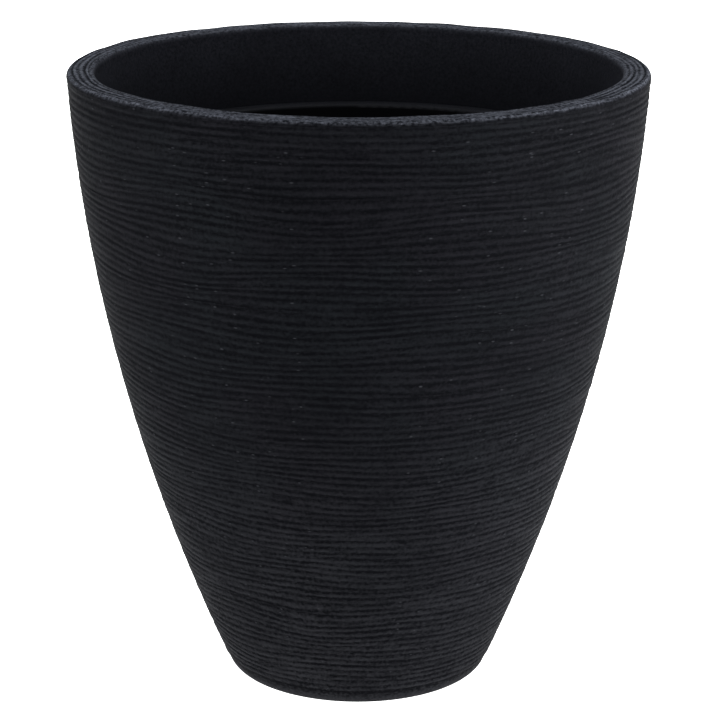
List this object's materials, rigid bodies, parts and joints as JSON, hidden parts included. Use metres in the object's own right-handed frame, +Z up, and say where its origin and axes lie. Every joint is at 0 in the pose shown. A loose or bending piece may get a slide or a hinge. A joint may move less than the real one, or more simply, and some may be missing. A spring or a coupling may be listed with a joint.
{
  "type": "planter",
  "caption": "Round tapered planter: a finely ribbed double-walled shell with a ridged rim, a drained base and a lift-out liner with a slotted false floor.",
  "frame": {"origin": "centre of the foot ring's flat face, on the surface that the planter stands on", "axes": "+Z up along the planter's axis; the planter looks the same from every side, and -Y is taken as its front"},
  "size_m": [0.5, 0.4998, 0.544],
  "materials": {
    "ribbed_shell": "matte",
    "inner_wall": "matte",
    "foam": "matte",
    "drain_plastic": "satin",
    "seal_rubber": "matte",
    "plug_plastic": "satin",
    "liner_plastic": "satin",
    "grid_plastic": "satin"
  },
  "bodies": {
    "pot": {"outer_shell": "ribbed_shell", "inner_shell": "inner_wall", "insulation_core": "foam", "drain_fitting": "drain_plastic", "fitting_gasket": "seal_rubber", "drain_locknut": "drain_plastic"},
    "drain_plug": {"drain_plug": "plug_plastic", "plug_seal": "seal_rubber"},
    "liner": {"liner": "liner_plastic"},
    "drainage_grid": {"drainage_grid": "grid_plastic"}
  },
  "joints": [
    {"name": "plug_pull", "type": "slide", "parent": "pot", "child": "drain_plug", "axis": [0, 0, 1], "range_m": [0, 0.027]},
    {"name": "liner_lift", "type": "slide", "parent": "pot", "child": "liner", "axis": [0, 0, 1], "range_m": [0, 0.46]},
    {"name": "grid_lift", "type": "slide", "parent": "liner", "child": "drainage_grid", "axis": [0, 0, 1], "range_m": [0, 0.45]}
  ]
}
